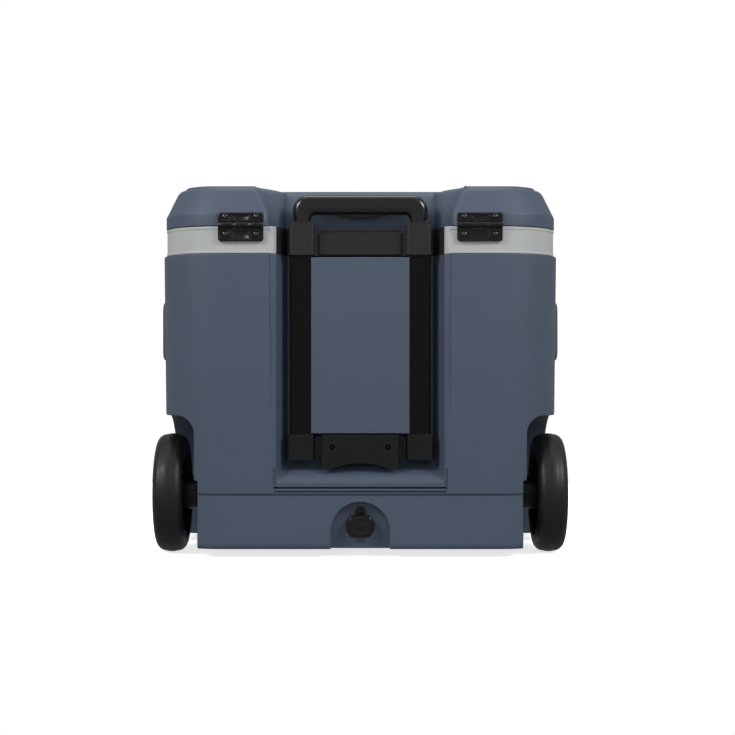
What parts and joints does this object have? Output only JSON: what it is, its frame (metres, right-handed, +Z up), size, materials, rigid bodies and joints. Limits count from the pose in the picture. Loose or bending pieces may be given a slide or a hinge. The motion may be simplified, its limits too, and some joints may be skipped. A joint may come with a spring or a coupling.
{
  "type": "cooler on wheels",
  "caption": "Hard-sided insulated cooler that rolls on rear wheels, with a hinged lid, a telescoping pull handle in a rear recess, moulded side handles and a drain.",
  "frame": {"origin": "centre of the footprint, on the ground that the wheels and front feet stand on", "axes": "+Z up; +Y towards the cooler's front, away from the pull handle; +X to the right when the handle side is looked at; the wheels turn about X"},
  "size_m": [0.583, 0.467, 0.5204],
  "materials": {
    "slate_blue_shell": "satin",
    "silver_band": "satin",
    "white_liner": "satin",
    "foam": "matte",
    "charcoal_plastic": "satin",
    "black_steel_tube": "satin",
    "black_plastic": "satin",
    "tyre_black": "matte",
    "seal_rubber": "matte",
    "zinc_steel": "satin"
  },
  "bodies": {
    "tub": {"outer_shell": "slate_blue_shell", "foam_insulation": "foam", "inner_liner": "white_liner", "rim_band": "silver_band", "lower_bracket": "black_plastic", "upper_bracket": "charcoal_plastic", "drain_spout": "black_plastic", "drain_washer": "seal_rubber", "drain_strap": "black_plastic", "front_foot_left": "black_plastic", "stub_axle_left": "zinc_steel", "axle_nut_left": "zinc_steel", "handle_rail_left": "black_steel_tube", "plate_screw_left": "zinc_steel", "hinge_lower_leaf_left": "black_plastic", "hinge_pin_left": "zinc_steel", "lower_screw_left_a": "zinc_steel", "lower_screw_left_b": "zinc_steel", "front_foot_right": "black_plastic", "stub_axle_right": "zinc_steel", "axle_nut_right": "zinc_steel", "handle_rail_right": "black_steel_tube", "plate_screw_right": "zinc_steel", "hinge_lower_leaf_right": "black_plastic", "hinge_pin_right": "zinc_steel", "lower_screw_right_a": "zinc_steel", "lower_screw_right_b": "zinc_steel"},
    "lid": {"lid_shell": "slate_blue_shell", "lid_foam": "foam", "lid_liner": "white_liner", "lid_gasket": "seal_rubber", "hinge_upper_leaf_left": "black_plastic", "upper_screw_left_a": "zinc_steel", "upper_screw_left_b": "zinc_steel", "hinge_upper_leaf_right": "black_plastic", "upper_screw_right_a": "zinc_steel", "upper_screw_right_b": "zinc_steel"},
    "handle_mid": {"middle_tube_left": "black_steel_tube", "middle_tube_right": "black_steel_tube", "tube_ring_left": "charcoal_plastic", "tube_ring_right": "charcoal_plastic"},
    "handle_top": {"inner_tube_left": "black_steel_tube", "inner_tube_right": "black_steel_tube", "grip": "black_plastic"},
    "release": {"release_bar": "black_plastic", "release_rod_left": "zinc_steel", "release_rod_right": "zinc_steel"},
    "wheel_left": {"tyre_left": "tyre_black", "hub_left": "black_plastic", "hub_cap_left": "charcoal_plastic", "axle_bush_left": "zinc_steel"},
    "wheel_right": {"tyre_right": "tyre_black", "hub_right": "black_plastic", "hub_cap_right": "charcoal_plastic", "axle_bush_right": "zinc_steel"},
    "drain_cap_body": {"drain_cap": "black_plastic"}
  },
  "joints": [
    {"name": "lid_hinge", "type": "hinge", "parent": "tub", "child": "lid", "pos_m": [0, -0.2295, 0.4625], "axis": [1, 0, 0], "range_deg": [0, 105]},
    {"name": "handle_stage_1", "type": "slide", "parent": "tub", "child": "handle_mid", "axis": [0, 0, 1], "range_m": [0, 0.24]},
    {"name": "handle_stage_2", "type": "slide", "parent": "handle_mid", "child": "handle_top", "axis": [0, 0, 1], "range_m": [0, 0.24]},
    {"name": "release_squeeze", "type": "slide", "parent": "handle_top", "child": "release", "axis": [0, 0, 1], "range_m": [0, 0.004], "stiffness_N_per_m": 600, "springref_m": -0.002},
    {"name": "wheel_left_spin", "type": "hinge", "parent": "tub", "child": "wheel_left", "pos_m": [-0.2705, -0.135, 0.085], "axis": [1, 0, 0], "continuous": true},
    {"name": "wheel_right_spin", "type": "hinge", "parent": "tub", "child": "wheel_right", "pos_m": [0.2705, -0.135, 0.085], "axis": [1, 0, 0], "continuous": true},
    {"name": "drain_cap_turn", "type": "hinge", "parent": "tub", "child": "drain_cap_body", "pos_m": [0, -0.215, 0.0436], "axis": [0, -1, 0], "range_deg": [0, 540]}
  ]
}
